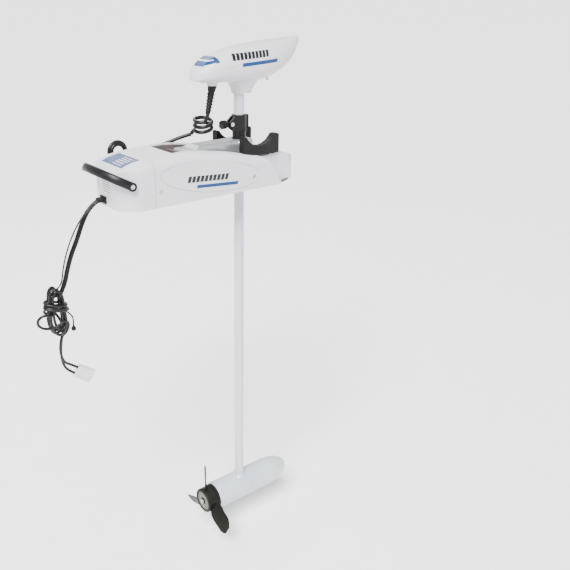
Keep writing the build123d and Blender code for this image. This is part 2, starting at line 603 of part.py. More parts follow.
MAIN_ROUTE = [(-300, 14), (-322, 1), (-344, -33), (-362, -75), (-381, -110),
              (-395, -147), (-405, -181)]
lead_positive = cord_tube("lead_positive", [(x, 11, z) for x, z in MAIN_ROUTE], LEAD_R)
lead_negative = cord_tube("lead_negative", [(x - 2 * (x < -310), 18.6, z) for x, z in MAIN_ROUTE], LEAD_R)
SENSE_ROUTE = [(-300, 4, 14), (-326, 3, 5), (-352, 2, -17), (-377, 1, -51), (-397, 2, -92),
               (-411, 3, -134), (-419, 5, -180)]
lead_sense = cord_tube("lead_sense", SENSE_ROUTE, SENSE_R)

TAIL_POSITIVE = [(-433, 12, -328), (-438, 12, -350), (-437, 13, -378), (-429, 15, -400),
            (-412.7, 17.5, -412.2), (-395.1, 12.7, -424.5)]
TAIL_NEGATIVE = [(-426, 22, -328), (-431, 23, -356), (-433, 24, -385), (-430, 24, -409),
              (-420.9, 20.2, -428.3), (-404.9, 15.3, -439.5)]
TAIL_SENSE = [(-405, 15, -262), (-396, 15, -272), (-393, 15, -286), (-394.5, 15, -303)]
tail_positive = cord_tube("tail_positive", TAIL_POSITIVE, LEAD_R)
tail_negative = cord_tube("tail_negative", TAIL_NEGATIVE, LEAD_R)
tail_sense = cord_tube("tail_sense", TAIL_SENSE, SENSE_R)

# two-pole battery connector, its axis sloping down and forward
CONNECTOR_AT = (-400.0, 14.0, -432.0)
connector_plane = Plane(origin=CONNECTOR_AT, x_dir=(0.540, -0.149, 0.828), z_dir=(0.80, -0.22, -0.56))
housing = extrude(connector_plane * RectangleRounded(36, 16, 3), 47)
for side in (-1, 1):
    housing -= extrude(connector_plane.offset(30) * Pos(9 * side, 0) * RectangleRounded(13, 11, 1.5), 20)
housing -= extrude(connector_plane.offset(12) * Pos(0, 9) * Rectangle(26, 4), 14)
connector_housing = housing
connector_contacts = []
for side in (-1, 1):
    contact = extrude(connector_plane.offset(30) * Pos(9 * side, -1.5) * Rectangle(8, 3), 13)
    connector_contacts.append(contact)
lead_positive = trimmed(lead_positive, cable_hank, power_gland)
lead_negative = trimmed(lead_negative, cable_hank, power_gland)
lead_sense = trimmed(lead_sense, cable_hank, power_gland)
tail_positive = trimmed(tail_positive, cable_hank, connector_housing)
tail_negative = trimmed(tail_negative, cable_hank, connector_housing)
lead_cap = Pos(-394.7, 15, -311) * Sphere(6.5) + rod("Z", 3.2, -308, -302.8, -394.7, 15)

tail_sense = trimmed(tail_sense, cable_hank, lead_cap)

COIL_CENTRE = (30.0, 27.0)
COIL_R = 28.5
COIL_Z = (147.0, 187.0)
head_cord_coil = rod("Z", COIL_R, COIL_Z[0], COIL_Z[1], *COIL_CENTRE)
head_cord_coil = fillet(head_cord_coil.edges().filter_by(GeomType.CIRCLE), 6)
head_cord = cord_tube("head_cord", [(27, 0, 196.6), (26.5, 6, 182)], HEAD_CORD_R)
head_cord = trimmed(head_cord, head_cord_coil, cord_strain_relief)

MOUNT_COIL = (-189.0, 107.0)
MOUNT_COIL_R = 30.0
MOUNT_CORD_Y = 104.0
mount_cord_coil = rod("Y", MOUNT_COIL_R, MOUNT_CORD_Y - 9, MOUNT_CORD_Y + 9, *MOUNT_COIL)
mount_cord_coil = fillet(mount_cord_coil.edges().filter_by(GeomType.CIRCLE), 4)
MOUNT_ROUTE = [(6, 50, 139), (-20, 62, 134), (-54, 80, 128), (-90, 96, 118), (-126, 104, 110),
               (-162, 104, 109)]
mount_cord = cord_tube("mount_cord", MOUNT_ROUTE, HEAD_CORD_R)
mount_cord = trimmed(mount_cord, mount_cord_coil)
gx, gz = CORD_GLAND
cord_gland = tube("X", 8.5, HEAD_CORD_R, gx - 14, gx, MOUNT_CORD_Y, gz)
foot = block(gx - 14, gx - 2, 84, MOUNT_CORD_Y, gz - 8, gz + 8) - outer
foot -= rod("X", 7, gx - 20, gx + 10, MOUNT_CORD_Y, gz)
cord_gland = cord_gland + foot + tube("X", 7.2, HEAD_CORD_R, gx - 14, gx, MOUNT_CORD_Y, gz)
cord_gland += rod("X", 7.0, gx - 17, gx - 13.5, MOUNT_CORD_Y, gz)
mount_cord_end = cord_tube("mount_cord_end", [(-189, MOUNT_CORD_Y, gz), (gx, MOUNT_CORD_Y, gz)], HEAD_CORD_R)
mount_cord_end = trimmed(mount_cord_end, mount_cord_coil)


# ---------------------------------------------------------------- handle and lock
def handle_solid():
    """Bail handle: a flattened bar bowed aft and upwards between two eyes."""
    hx0, hz0 = HANDLE_PIVOT
    ax, az = HANDLE_APEX
    path = Spline((hx0 - 3, -HANDLE_HALF - 1, hz0 + 2), (hx0 - 34, -79, hz0 + 19), (ax, 0, az),
                  (hx0 - 34, 79, hz0 + 19), (hx0 - 3, HANDLE_HALF + 1, hz0 + 2))
    start = path.location_at(0)
    bar = sweep(start * Ellipse(5, 10.5), path=path)
    eyes = rod("Y", 11, HANDLE_HALF - 4.5, HANDLE_HALF + 5, hx0, hz0)
    bar = bar + eyes + mirrored(eyes)
    bar -= rod("Y", 3.0 + RUN, -120, 120, hx0, hz0)
    bar -= rod("Y", 6, HANDLE_HALF + 2, 120, hx0, hz0)
    return bar - rod("Y", 6, -120, -HANDLE_HALF - 2, hx0, hz0)


pull_handle = handle_solid().solids().sort_by(SortBy.VOLUME)[-1]
handle_screws = []
for side in (-1, 1):
    pin = rod("Y", 3.0, 62, HANDLE_HALF + 3, hx, hz)
    pin += rod("Y", 5.5, HANDLE_HALF + 2.1, HANDLE_HALF + 4.6, hx, hz)
    handle_screws.append(pin if side > 0 else mirrored(pin))

lock_plunger = rod("X", 6.0, -112, PIVOT[0] - 20.5, 0, 98)
lock_plunger += rod("X", 9, -80, -76, 0, 98)
control_board = block(-245, -195, -45, 45, 30, 32)
for x, y, w, h in ((-236, -30, 16, 14), (-222, 4, 20, 10), (-206, 26, 9, 18)):
    control_board += block(x, x + w, y - 8, y + 8, 31.5, 32 + h)
board_posts = [rod("Z", 4, 5, 30, x, y) for x in (-240, -200) for y in (-38, 38)]
for post in board_posts:
    base_channel += post
base_channel = base_channel.solids().sort_by(SortBy.VOLUME)[-1]
cover_screws = []
for x, z in COVER_SCREWS:
    screw = rod("Y", 5.5, -89.5, -86.1, x, z) + rod("Y", 2.8, -86.5, -58, x, z)
    screw -= block(x - 4, x + 4, -90, -88.4, z - 0.7, z + 0.7)
    cover_screws += [screw, mirrored(screw)]
rest_screws = []
for x in (112.0, 190.0):
    for side in (-1, 1):
        rest_screws.append(rod("Z", 2.5, 70, 95, x, side * 62))
for screw in rest_screws:
    motor_rest_near -= screw
    motor_rest_far -= screw
    bow_nose_near -= screw
    bow_nose_far -= screw
    near_cover -= screw
    far_cover -= screw


# ---------------------------------------------------------------- files
def group(solids):
    """Identical or matching pieces that share one node."""
    return Compound(children=[piece.solid() for piece in solids])


collar_pins = [collar_hinge_pin, collar_cross_pin, collar_bolt]
gearbox_bushes = [*arm_bushes, upper_bush, lower_bush, *worm_bearings]
pieces = {
    "base_channel": base_channel,
    "near_side_cover": near_cover,
    "far_side_cover": far_cover,
    "aft_cowl": aft_cowl,
    "bow_nose_near": bow_nose_near,
    "bow_nose_far": bow_nose_far,
    "motor_rest_near": motor_rest_near,
    "motor_rest_far": motor_rest_far,
    "mount_screws": group(cover_screws + rest_screws + handle_screws),
    "control_board": control_board,
    "tilt_pin": tilt_pin,
    "lock_plunger": lock_plunger,
    "pull_handle": pull_handle,
    "power_gland": power_gland,
    "lead_positive": group([lead_positive, tail_positive]),
    "lead_negative": group([lead_negative, tail_negative]),
    "lead_sense": group([lead_sense, tail_sense]),
    "cable_hank": cable_hank,
    "connector_housing": connector_housing,
    "connector_contacts": group(connector_contacts),
    "lead_cap": lead_cap,
    "cord_gland": cord_gland,
    "mount_cord": group([mount_cord, mount_cord_end]),
    "mount_cord_coil": mount_cord_coil,
    "tilt_arm": tilt_arm,
    "gearbox_bushes": group(gearbox_bushes),
    "gearbox_cover": gearbox_cover,
    "steer_motor": steer_motor,
    "motor_pinion": motor_pinion,
    "worm": worm,
    "worm_wheel": worm_wheel,
    "spindle_sleeve": spindle_sleeve,
    "collar_near": collar_near,
    "collar_far": collar_far,
    "collar_pins": group(collar_pins),
    "collar_knob": collar_knob,
    "shaft_tube": shaft_tube,
    "motor_cable": motor_cable,
    "motor_case": motor_case,
    "rear_end_bell": rear_end_bell,
    "nose_cone": nose_cone,
    "brush_holder": brush_holder,
    "magnets": group(magnets),
    "motor_bolts": group(through_bolts),
    "motor_bearings": group([rear_bearing, nose_bearing]),
    "shaft_seal": shaft_seal,
    "armature": armature,
    "armature_shaft": armature_shaft,
    "propeller": propeller,
    "prop_ring": prop_ring,
    "prop_nut": prop_nut,
    "drive_pin": drive_pin,
    "head_top_cover": head_top_cover,
    "head_bottom_cover": head_bottom_cover,
    "head_neck": head_neck,
    "head_board": head_board,
    "head_screws": group(head_screws),
    "cord_grommet": cord_grommet,
    "cord_strain_relief": cord_strain_relief,
    "head_cord": group([head_cord, head_cord_coil]),
}
os.makedirs("parts", exist_ok=True)
for name, shape in pieces.items():
    export_step(shape, f"parts/{name}.step")
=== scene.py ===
import json
import math

import bpy
import mathutils
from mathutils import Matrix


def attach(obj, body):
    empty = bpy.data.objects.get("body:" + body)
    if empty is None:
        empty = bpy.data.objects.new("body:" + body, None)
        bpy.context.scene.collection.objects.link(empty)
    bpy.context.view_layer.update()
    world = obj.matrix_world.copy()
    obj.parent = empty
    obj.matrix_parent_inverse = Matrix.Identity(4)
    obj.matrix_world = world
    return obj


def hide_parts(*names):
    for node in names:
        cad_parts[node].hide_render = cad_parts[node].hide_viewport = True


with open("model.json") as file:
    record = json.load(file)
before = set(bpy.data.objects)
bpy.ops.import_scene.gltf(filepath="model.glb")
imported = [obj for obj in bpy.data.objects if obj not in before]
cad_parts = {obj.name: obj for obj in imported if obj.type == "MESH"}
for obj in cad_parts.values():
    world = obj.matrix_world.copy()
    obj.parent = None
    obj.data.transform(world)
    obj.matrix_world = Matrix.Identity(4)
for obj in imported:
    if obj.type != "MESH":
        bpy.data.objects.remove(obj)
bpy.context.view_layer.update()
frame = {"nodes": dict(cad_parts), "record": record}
NODES = frame["nodes"]
MM = 0.001


# ---------------------------------------------------------------- camera
CAMERA_AT = (-1.0311, -1.5409, 0.5013)
CAMERA_AZIMUTH = math.radians(-37)
CAMERA_PITCH = math.radians(23)
LENS = 44.21
SENSOR_WIDTH = 36
LENS_SHIFT = 0.0807
FARTHEST = 400


def add_camera():
    data = bpy.data.cameras.new("camera")
    data.lens = LENS
    data.sensor_width = SENSOR_WIDTH
    data.shift_x = LENS_SHIFT
    data.clip_end = FARTHEST
    camera = bpy.data.objects.new("camera", data)
    a, e = CAMERA_AZIMUTH, CAMERA_PITCH
    right = mathutils.Vector((math.cos(a), math.sin(a), 0))
    back = mathutils.Vector((math.sin(a) * math.cos(e), -math.cos(a) * math.cos(e), math.sin(e)))
    up = back.cross(right)
    turn = mathutils.Matrix((right, up, back)).transposed().to_4x4()
    camera.matrix_world = mathutils.Matrix.Translation(CAMERA_AT) @ turn
    bpy.context.collection.objects.link(camera)
    bpy.context.scene.camera = camera


add_camera()


# ---------------------------------------------------------------- materials
NOISE_MIDDLE = (0.35, 0.65)      # the part of the noise that a finish spreads over its range
PATCH_SCALE = 9.0
ROUGH_SCALE = 34.0
GRAIN_DETAIL = 6.0
GRAIN_HEIGHT = 0.6 * MM
COAT_ROUGHNESS = 0.12


class Nodes:
    """Short calls for building one material's node tree."""

    def __init__(self, name):
        self.material = bpy.data.materials.new(name)
        self.material.use_nodes = True
        self.tree = self.material.node_tree
        self.shader = self.tree.nodes["Principled BSDF"]
        self.place = self.tree.nodes.new("ShaderNodeTexCoord").outputs["Object"]

    def link(self, source, target):
        self.tree.links.new(source, target)

    def put(self, value, socket):
        if isinstance(value, bpy.types.NodeSocket):
            self.link(value, socket)
        else:
            socket.default_value = value

    def noise(self, scale, detail=4.0, stretch=None):
        node = self.tree.nodes.new("ShaderNodeTexNoise")
        node.inputs["Scale"].default_value = scale
        node.inputs["Detail"].default_value = detail
        source = self.place
        if stretch:
            mapping = self.tree.nodes.new("ShaderNodeMapping")
            mapping.inputs["Scale"].default_value = stretch
            self.link(self.place, mapping.inputs["Vector"])
            source = mapping.outputs["Vector"]
        self.link(source, node.inputs["Vector"])
        return node.outputs["Fac"]

    def spread(self, source, low, high):
        node = self.tree.nodes.new("ShaderNodeMapRange")
        node.inputs["From Min"].default_value = NOISE_MIDDLE[0]
        node.inputs["From Max"].default_value = NOISE_MIDDLE[1]
        node.inputs["To Min"].default_value = low
        node.inputs["To Max"].default_value = high
        self.link(source, node.inputs["Value"])
        return node.outputs["Result"]

    def mix(self, factor, first, second):
        node = self.tree.nodes.new("ShaderNodeMix")
        node.data_type = "RGBA"
        self.put(factor, node.inputs["Factor"])
        self.put(first, node.inputs["A"])
        self.put(second, node.inputs["B"])
        return node.outputs["Result"]

    def math(self, operation, first, second=0.0):
        node = self.tree.nodes.new("ShaderNodeMath")
        node.operation = operation
        self.put(first, node.inputs[0])
        self.put(second, node.inputs[1])
        return node.outputs["Value"]

    def bump(self, height, strength, distance):
        node = self.tree.nodes.new("ShaderNodeBump")
        node.inputs["Strength"].default_value = strength
        node.inputs["Distance"].default_value = distance
        self.link(height, node.inputs["Height"])
        self.link(node.outputs["Normal"], self.shader.inputs["Normal"])

    def axis(self, letter):
        node = self.tree.nodes.new("ShaderNodeSeparateXYZ")
        self.link(self.place, node.inputs["Vector"])
        return node.outputs[letter]

    def overlap(self, first, *others):
        """1 where every mask is 1."""
        for other in others:
            first = self.math("MULTIPLY", first, other)
        return first

    def within(self, value, low, high):
        """1 where value lies between low and high."""
        return self.overlap(self.math("GREATER_THAN", value, low), self.math("LESS_THAN", value, high))

    def stripes(self, value, pitch, gap):
        """1 over the last part of every pitch, past its gap."""
        return self.math("GREATER_THAN", self.math("MODULO", value, pitch), gap)

    def along(self, corner, slope, first, second):
        """Distances along and across a line that starts at corner and climbs at slope degrees."""
        c, s = math.cos(math.radians(slope)), math.sin(math.radians(slope))
        du = self.math("SUBTRACT", self.axis(first), corner[0])
        dv = self.math("SUBTRACT", self.axis(second), corner[1])
        run = self.math("ADD", self.math("MULTIPLY", du, c), self.math("MULTIPLY", dv, s))
        rise = self.math("SUBTRACT", self.math("MULTIPLY", dv, c), self.math("MULTIPLY", du, s))
        return run, rise


def rgba(colour):
    return (*colour, 1.0)


def shade(name, colour, other, rough, grain, depth,
          metallic=0.0, coat=0.0, gloss=0.5, stretch=None):
    """A finish that wanders between two colours and two roughnesses, with a grain on its surface."""
    n = Nodes(name)
    patches = n.spread(n.noise(PATCH_SCALE, stretch=stretch), 0.0, 1.0)
    n.link(n.mix(patches, rgba(colour), rgba(other)), n.shader.inputs["Base Color"])
    n.link(n.spread(n.noise(ROUGH_SCALE, stretch=stretch), *rough), n.shader.inputs["Roughness"])
    n.shader.inputs["Metallic"].default_value = metallic
    n.shader.inputs["Specular IOR Level"].default_value = gloss
    n.shader.inputs["Coat Weight"].default_value = coat
    n.shader.inputs["Coat Roughness"].default_value = COAT_ROUGHNESS
    n.bump(n.noise(grain, GRAIN_DETAIL, stretch), depth, GRAIN_HEIGHT)
    return n


# ---------------------------------------------------------------- marks on the mouldings
WHITE, WHITE_WORN = (0.56, 0.56, 0.59), (0.53, 0.53, 0.56)
DARK_BLUE, BLUE = (0.003, 0.004, 0.007), (0.0, 0.03, 0.13)
LABEL_GREY, LABEL_INK = (0.62, 0.64, 0.66), (0.08, 0.09, 0.10)

BAR_BLOCKS = 10
BLOCK_GAP = 0.22           # share of each block's pitch
BLOCK_LEAN = 0.25
LINE_SPAN = (0.28, 1.3)    # where the thin line starts and ends, as shares of the bar's length
LINE_BELOW = (1.0, 0.45)   # its lower and upper edges, as shares of the bar's height

COVER_MARK = {"corner": (-0.104, 0.050), "slope": -4.0, "length": 0.128, "height": 0.016}
COVER_SIDE = 0.07          # the covers' marks are farther from the middle than this
HEAD_MARK = {"corner": (0.070, 0.330), "slope": 3.0, "length": 0.116, "height": 0.017}
HEAD_SIDE = 0.02

STICKER_CORNER, STICKER_SLOPE = (-0.002, 0.318), 14.0
STICKER_SIZE = (0.042, 0.024)
STICKER_BARS = (0.006, 0.032)
STICKER_PITCH, STICKER_BAR = 0.008, 0.002

SHEET_CORNER = (-0.262, -0.052)
SHEET_SIZE = (0.052, 0.104)
SHEET_BARS = ((0.006, 0.046), (0.014, 0.058))
SHEET_PITCH, SHEET_GAP = 0.0085, 0.0055
COWL_TOP = 0.088

PLATE_CORNER = (0.0, 0.034)
PLATE_SPAN = ((-0.031, 0.027), (0.0, 0.042))
PLATE_ROWS = (-0.026, 0.016)
ROW_PITCH, ROW_GAP = 0.0062, 0.0036
COWL_BACK = -0.2815


def graphics(n, corner, slope, length, height):
    """A bar of slanted blocks over a thin line, as two masks on a moulding's side."""
    run, rise = n.along(corner, slope, "X", "Z")
    lean = n.math("SUBTRACT", run, n.math("MULTIPLY", rise, BLOCK_LEAN))
    pitch = length / BAR_BLOCKS
    blocks = n.stripes(lean, pitch, pitch * BLOCK_GAP)
    band = n.overlap(n.within(lean, 0.0, length), blocks, n.within(rise, 0.0, height))
    across = n.within(rise, -height * LINE_BELOW[0], -height * LINE_BELOW[1])
    line = n.overlap(n.within(lean, length * LINE_SPAN[0], length * LINE_SPAN[1]), across)
    return band, line


def side_marks(n, mark, side):
    """The bar and line of one mark, on both sides of the object."""
    band, line = graphics(n, **mark)
    facing = n.math("GREATER_THAN", n.math("ABSOLUTE", n.axis("Y")), side)
    return [(n.overlap(band, facing), DARK_BLUE), (n.overlap(line, facing), BLUE)]


def cover_decals(n):
    return side_marks(n, COVER_MARK, COVER_SIDE)


def head_sticker(n):
    """Blue sticker with white bars on the head's aft part."""
    run, rise = n.along(STICKER_CORNER, STICKER_SLOPE, "X", "Z")
    patch = n.overlap(n.within(run, 0.0, STICKER_SIZE[0]), n.within(rise, 0.0, STICKER_SIZE[1]))
    beat = n.math("LESS_THAN", n.math("MODULO", rise, STICKER_PITCH), STICKER_BAR)
    return [(patch, BLUE), (n.overlap(n.within(run, *STICKER_BARS), beat, patch), WHITE)]


def head_decals(n):
    return side_marks(n, HEAD_MARK, HEAD_SIDE) + head_sticker(n)


def cowl_sheet(n):
    """Blue label with white bars on the cowl's top."""
    run, across = n.along(SHEET_CORNER, 0.0, "X", "Y")
    top = n.math("GREATER_THAN", n.axis("Z"), COWL_TOP)
    sheet = n.overlap(n.within(run, 0.0, SHEET_SIZE[0]), n.within(across, 0.0, SHEET_SIZE[1]), top)
    bars = n.overlap(n.stripes(run, SHEET_PITCH, SHEET_GAP), sheet, n.within(across, *SHEET_BARS[1]),
                     n.within(run, *SHEET_BARS[0]))
    return [(sheet, BLUE), (bars, WHITE)]


def cowl_plate(n):
    """Grey rating plate with dark rows on the cowl's back."""
    side, up = n.along(PLATE_CORNER, 0.0, "Y", "Z")
    back = n.math("LESS_THAN", n.axis("X"), COWL_BACK)
    plate = n.overlap(n.within(side, *PLATE_SPAN[0]), n.within(up, *PLATE_SPAN[1]), back)
    rows = n.overlap(n.stripes(up, ROW_PITCH, ROW_GAP), plate, n.within(side, *PLATE_ROWS))
    return [(plate, LABEL_GREY), (rows, LABEL_INK)]


def cowl_decals(n):
    return cowl_sheet(n) + cowl_plate(n)


def white_shell(name, decals=None):
    n = shade(name, WHITE, WHITE_WORN, rough=(0.30, 0.42), grain=420.0, depth=0.10, gloss=0.35)
    if decals:
        colour = n.shader.inputs["Base Color"].links[0].from_socket
        for mask, paint in decals(n):
            colour = n.mix(mask, colour, rgba(paint))
        n.link(colour, n.shader.inputs["Base Color"])
    return n.material


# ---------------------------------------------------------------- finishes
FINISHES = {
    "white_shell": white_shell("white moulding"),
    "dark_casting": shade("dark casting", (0.115, 0.088, 0.090), (0.075, 0.058, 0.060),
                          rough=(0.45, 0.65), grain=160.0, depth=0.45, metallic=0.2).material,
    "silver_casting": shade("silver casting", (0.48, 0.49, 0.50), (0.40, 0.41, 0.42),
                            rough=(0.30, 0.46), grain=210.0, depth=0.30, metallic=0.75).material,
    "black_rubber": shade("black rubber", (0.005, 0.005, 0.0055), (0.010, 0.010, 0.0105),
                          rough=(0.48, 0.68), grain=500.0, depth=0.35, gloss=0.15).material,
    "black_plastic": shade("black plastic", (0.004, 0.004, 0.0045), (0.008, 0.008, 0.009),
                           rough=(0.30, 0.46), grain=650.0, depth=0.30, gloss=0.2).material,
    "cord_black": shade("cord jacket", (0.004, 0.004, 0.004), (0.008, 0.008, 0.0075),
                        rough=(0.24, 0.38), grain=300.0, depth=0.20, gloss=0.25).material,
    "grey_plastic": shade("grey plastic", (0.60, 0.61, 0.62), (0.52, 0.53, 0.54),
                          rough=(0.36, 0.52), grain=380.0, depth=0.25).material,
    "white_shaft": shade("white tube", (0.48, 0.52, 0.565), (0.455, 0.495, 0.54),
                         rough=(0.16, 0.27), grain=260.0, depth=0.06, coat=0.4,
                         stretch=(1, 1, 0.12)).material,
    "white_paint": shade("white enamel", (0.45, 0.49, 0.53), (0.42, 0.46, 0.50),
                         rough=(0.18, 0.30), grain=180.0, depth=0.10, coat=0.4).material,
    "olive_prop": shade("propeller nylon", (0.030, 0.031, 0.026), (0.050, 0.051, 0.043),
                        rough=(0.34, 0.52), grain=320.0, depth=0.25).material,
    "steel": shade("stainless steel", (0.56, 0.56, 0.57), (0.46, 0.46, 0.47),
                   rough=(0.20, 0.38), grain=700.0, depth=0.18, metallic=1.0).material,
    "bronze": shade("sintered bronze", (0.50, 0.33, 0.13), (0.38, 0.25, 0.10),
                    rough=(0.32, 0.50), grain=800.0, depth=0.30, metallic=0.9).material,
    "copper_part": shade("bright copper", (0.62, 0.30, 0.16), (0.48, 0.22, 0.11),
                         rough=(0.24, 0.42), grain=600.0, depth=0.22, metallic=1.0).material,
    "board": shade("circuit board", (0.010, 0.10, 0.035), (0.016, 0.13, 0.05),
                   rough=(0.30, 0.44), grain=240.0, depth=0.22).material,
    "gear_nylon": shade("natural nylon", (0.66, 0.63, 0.53), (0.58, 0.55, 0.46),
                        rough=(0.38, 0.52), grain=300.0, depth=0.15).material,
    "magnet": shade("ferrite", (0.03, 0.03, 0.032), (0.05, 0.05, 0.052),
                    rough=(0.40, 0.58), grain=420.0, depth=0.35, metallic=0.3).material,
}
SPECIAL = {
    "propeller": shade("blade nylon", (0.006, 0.0065, 0.005), (0.011, 0.0115, 0.009),
                       rough=(0.34, 0.52), grain=320.0, depth=0.25, gloss=0.1).material,
    "prop_ring": shade("hub ring nylon", (0.075, 0.078, 0.058), (0.10, 0.104, 0.08),
                       rough=(0.40, 0.55), grain=320.0, depth=0.25).material,
    "near_side_cover": white_shell("near cover moulding", cover_decals),
    "far_side_cover": white_shell("far cover moulding", cover_decals),
    "aft_cowl": white_shell("cowl moulding", cowl_decals),
    "head_top_cover": white_shell("head top moulding", head_decals),
    "head_bottom_cover": white_shell("head lower moulding", head_decals),
}
SLOT_OF = {part["node"]: part["material_slot"] for part in frame["record"]["subparts"]}


def dress(piece, material):
    piece.data.materials.clear()
    piece.data.materials.append(material)
    return piece


# ---------------------------------------------------------------- cords
CORD_D = 10.0 * MM
LEAD_D = 7.0 * MM
SENSE_D = 4.0 * MM
CORD_ORDER = 3
ROUND_STEPS = 5            # bevel resolution of a cord's section
LENGTH_STEPS = 8           # steps between neighbouring control points


def cord_piece(name, points, diameter):
    """Round cord whose spline has these points, in millimetres, as its control points."""
    curve = bpy.data.curves.new(name, "CURVE")
    curve.dimensions = "3D"
    curve.bevel_depth = 1.0
    curve.bevel_resolution = ROUND_STEPS
    curve.use_fill_caps = True
    curve.resolution_u = LENGTH_STEPS
    spline = curve.splines.new("NURBS")
    spline.points.add(len(points) - 1)
    for control, point in zip(spline.points, points):
        control.co = (*(value * MM for value in point), 1.0)
        control.radius = diameter / 2
    spline.order_u = CORD_ORDER
    spline.use_endpoint_u = True
    piece = bpy.data.objects.new(name, curve)
    bpy.context.collection.objects.link(piece)
    return dress(piece, FINISHES["cord_black"])


def length_of(piece):
    """Length of the cord's own line."""
    curve = piece.data
    depth, caps = curve.bevel_depth, curve.use_fill_caps
    curve.bevel_depth, curve.use_fill_caps = 0.0, False
    bpy.context.view_layer.update()
    line = bpy.data.meshes.new_from_object(piece)
    spots = [vertex.co for vertex in line.vertices]
    total = sum((spots[a] - spots[b]).length for a, b in (edge.vertices for edge in line.edges))
    bpy.data.meshes.remove(line)
    curve.bevel_depth, curve.use_fill_caps = depth, caps
    return total


TURN_POINTS = 16


def sweep(start, stop):
    """Shares and angles along a sweep from start to stop degrees, TURN_POINTS to a turn."""
    count = int(abs(stop - start) / 360 * TURN_POINTS)
    shares = [i / count for i in range(count + 1)]
    return [(share, math.radians(start + (stop - start) * share)) for share in shares]


# ---------------------------------------------------------------- leads and their hank
TIE = (-436.0, 15.0, -240.0)          # where the hank is gathered and wrapped
PINCH = 0.7                # how far the tie draws the loops in
PINCH_REACH = 22.0
GATHERED = 0.6             # width of the gathered loops, as a share of their own
WRAP_LEAN = 5.0


def hank_turns(start, stop, loops, y_of):
    """Loops gathered at the tie: each loop is (middle x, middle z, half width, half height)."""
    points = []
    for share, turn in sweep(start, stop):
        place = share * (len(loops) - 1)
        low = min(int(place), len(loops) - 2)
        middle_x, middle_z, wide, tall = (
            a + (b - a) * (place - low) for a, b in zip(loops[low], loops[low + 1]))
        z = middle_z + tall * math.sin(turn)
        squeeze = PINCH * math.exp(-((z - TIE[2]) / PINCH_REACH) ** 2)
        x = middle_x + wide * math.cos(turn)
        x += (TIE[0] + GATHERED * wide * math.cos(turn) - x) * squeeze
        points.append((x, y_of(share), z))
    return points


def bowed(base, swing):
    """Y that leaves base, swings out halfway along the turns, and comes back."""
    return lambda share: base + swing * math.sin(math.pi * share)


def ramp(base, climb):
    """Y that climbs evenly along the turns."""
    return lambda share: base + climb * share


def hank_wrap(start, stop, top, bottom, half):
    """Turns of a lead round the whole hank, lower on the right than on the left."""
    points = []
    for share, turn in sweep(start, stop):
        x = TIE[0] + half[0] * math.cos(turn)
        z = top + (bottom - top) * share - WRAP_LEAN * math.cos(turn)
        points.append((x, TIE[1] + half[1] * math.sin(turn), z))
    return points


MAIN_ROUTE = [(-300, 14), (-322, 1), (-344, -33), (-362, -75), (-381, -110), (-395, -147),
              (-405, -181)]
SENSE_ROUTE = [(-300, 4, 14), (-326, 3, 5), (-352, 2, -17), (-377, 1, -51), (-397, 2, -92),
               (-411, 3, -134), (-419, 5, -180)]
POSITIVE_Y = 11
NEGATIVE_Y = 18.6
GLAND_X = -310             # the negative lead lies LEAD_STEP farther aft past this
LEAD_STEP = 2
POSITIVE_LOOPS = [(-431, -242, 13, 50), (-435, -250, 20, 60), (-438, -254, 24, 64)]
NEGATIVE_LOOPS = [(-433, -246, 15, 56), (-438, -252, 20, 64), (-434, -256, 26, 64)]
SENSE_LOOPS = [(-438, -250, 20, 62), (-436, -258, 24, 50)]
POSITIVE_DROP = [(-428, 38, -268), (-418, 30, -296), (-424, 20, -322), (-432, 13, -328)]
LEFT_RING = [(-452, -6, -252), (-476, -2, -244), (-491, 4, -256), (-490, 6, -274), (-472, 4, -287),
             (-446, -1, -286), (-425, -3, -272), (-412, 2, -282), (-411, 9, -302), (-420, 13, -318),
             (-426, 19, -322)]
TAIL_POSITIVE = [(-438, 12, -350), (-437, 13, -378), (-429, 15, -400), (-412.7, 17.5, -412.2),
                 (-395.1, 12.7, -424.5)]
TAIL_NEGATIVE = [(-431, 23, -356), (-433, 24, -385), (-430, 24, -409), (-420.9, 20.2, -428.3),
                 (-404.9, 15.3, -439.5)]
TAIL_SENSE = [(-396, 15, -272), (-393, 15, -286), (-394.5, 15, -303)]

positive = cord_piece(
    "lead_positive_cord",
    [(x, POSITIVE_Y, z) for x, z in MAIN_ROUTE]
    + hank_turns(40, -670, POSITIVE_LOOPS, bowed(11, -10))
    + hank_wrap(150, 840, top=-226, bottom=-243, half=(28, 22))
    + POSITIVE_DROP + TAIL_POSITIVE, LEAD_D)
negative = cord_piece(
    "lead_negative_cord",
    [(x - LEAD_STEP * (x < GLAND_X), NEGATIVE_Y, z) for x, z in MAIN_ROUTE]
    + hank_turns(40, -660, NEGATIVE_LOOPS, bowed(19, 9))
    + hank_wrap(170, 560, top=-238, bottom=-252, half=(31, 22.5))
    + LEFT_RING + TAIL_NEGATIVE, LEAD_D)
sense = cord_piece(
    "lead_sense_cord",
    SENSE_ROUTE + hank_turns(110, -350, SENSE_LOOPS, ramp(3, 22)) + TAIL_SENSE, SENSE_D)


# ---------------------------------------------------------------- steering cord
COIL_CENTRE = (30.0, 27.0)
COIL_R = 24.25
HEAD_TURN = (-112.0, -944.0)
HEAD_COIL_Z = (181.0, 151.0)
COIL_TILT = 6.0            # how much higher than its middle each turn is towards TILT_SIDE
TILT_SIDE = (0.6, 0.8)
WOBBLE = 0.06
WOBBLE_RATE = 2.3
HEAD_LEAVING = [(27, 0, 196.6), (27.2, 0.4, 190), (24.5, 1.5, 183.5)]
HEAD_ARRIVING = [(8, 47, 144), (6.5, 49.5, 140)]


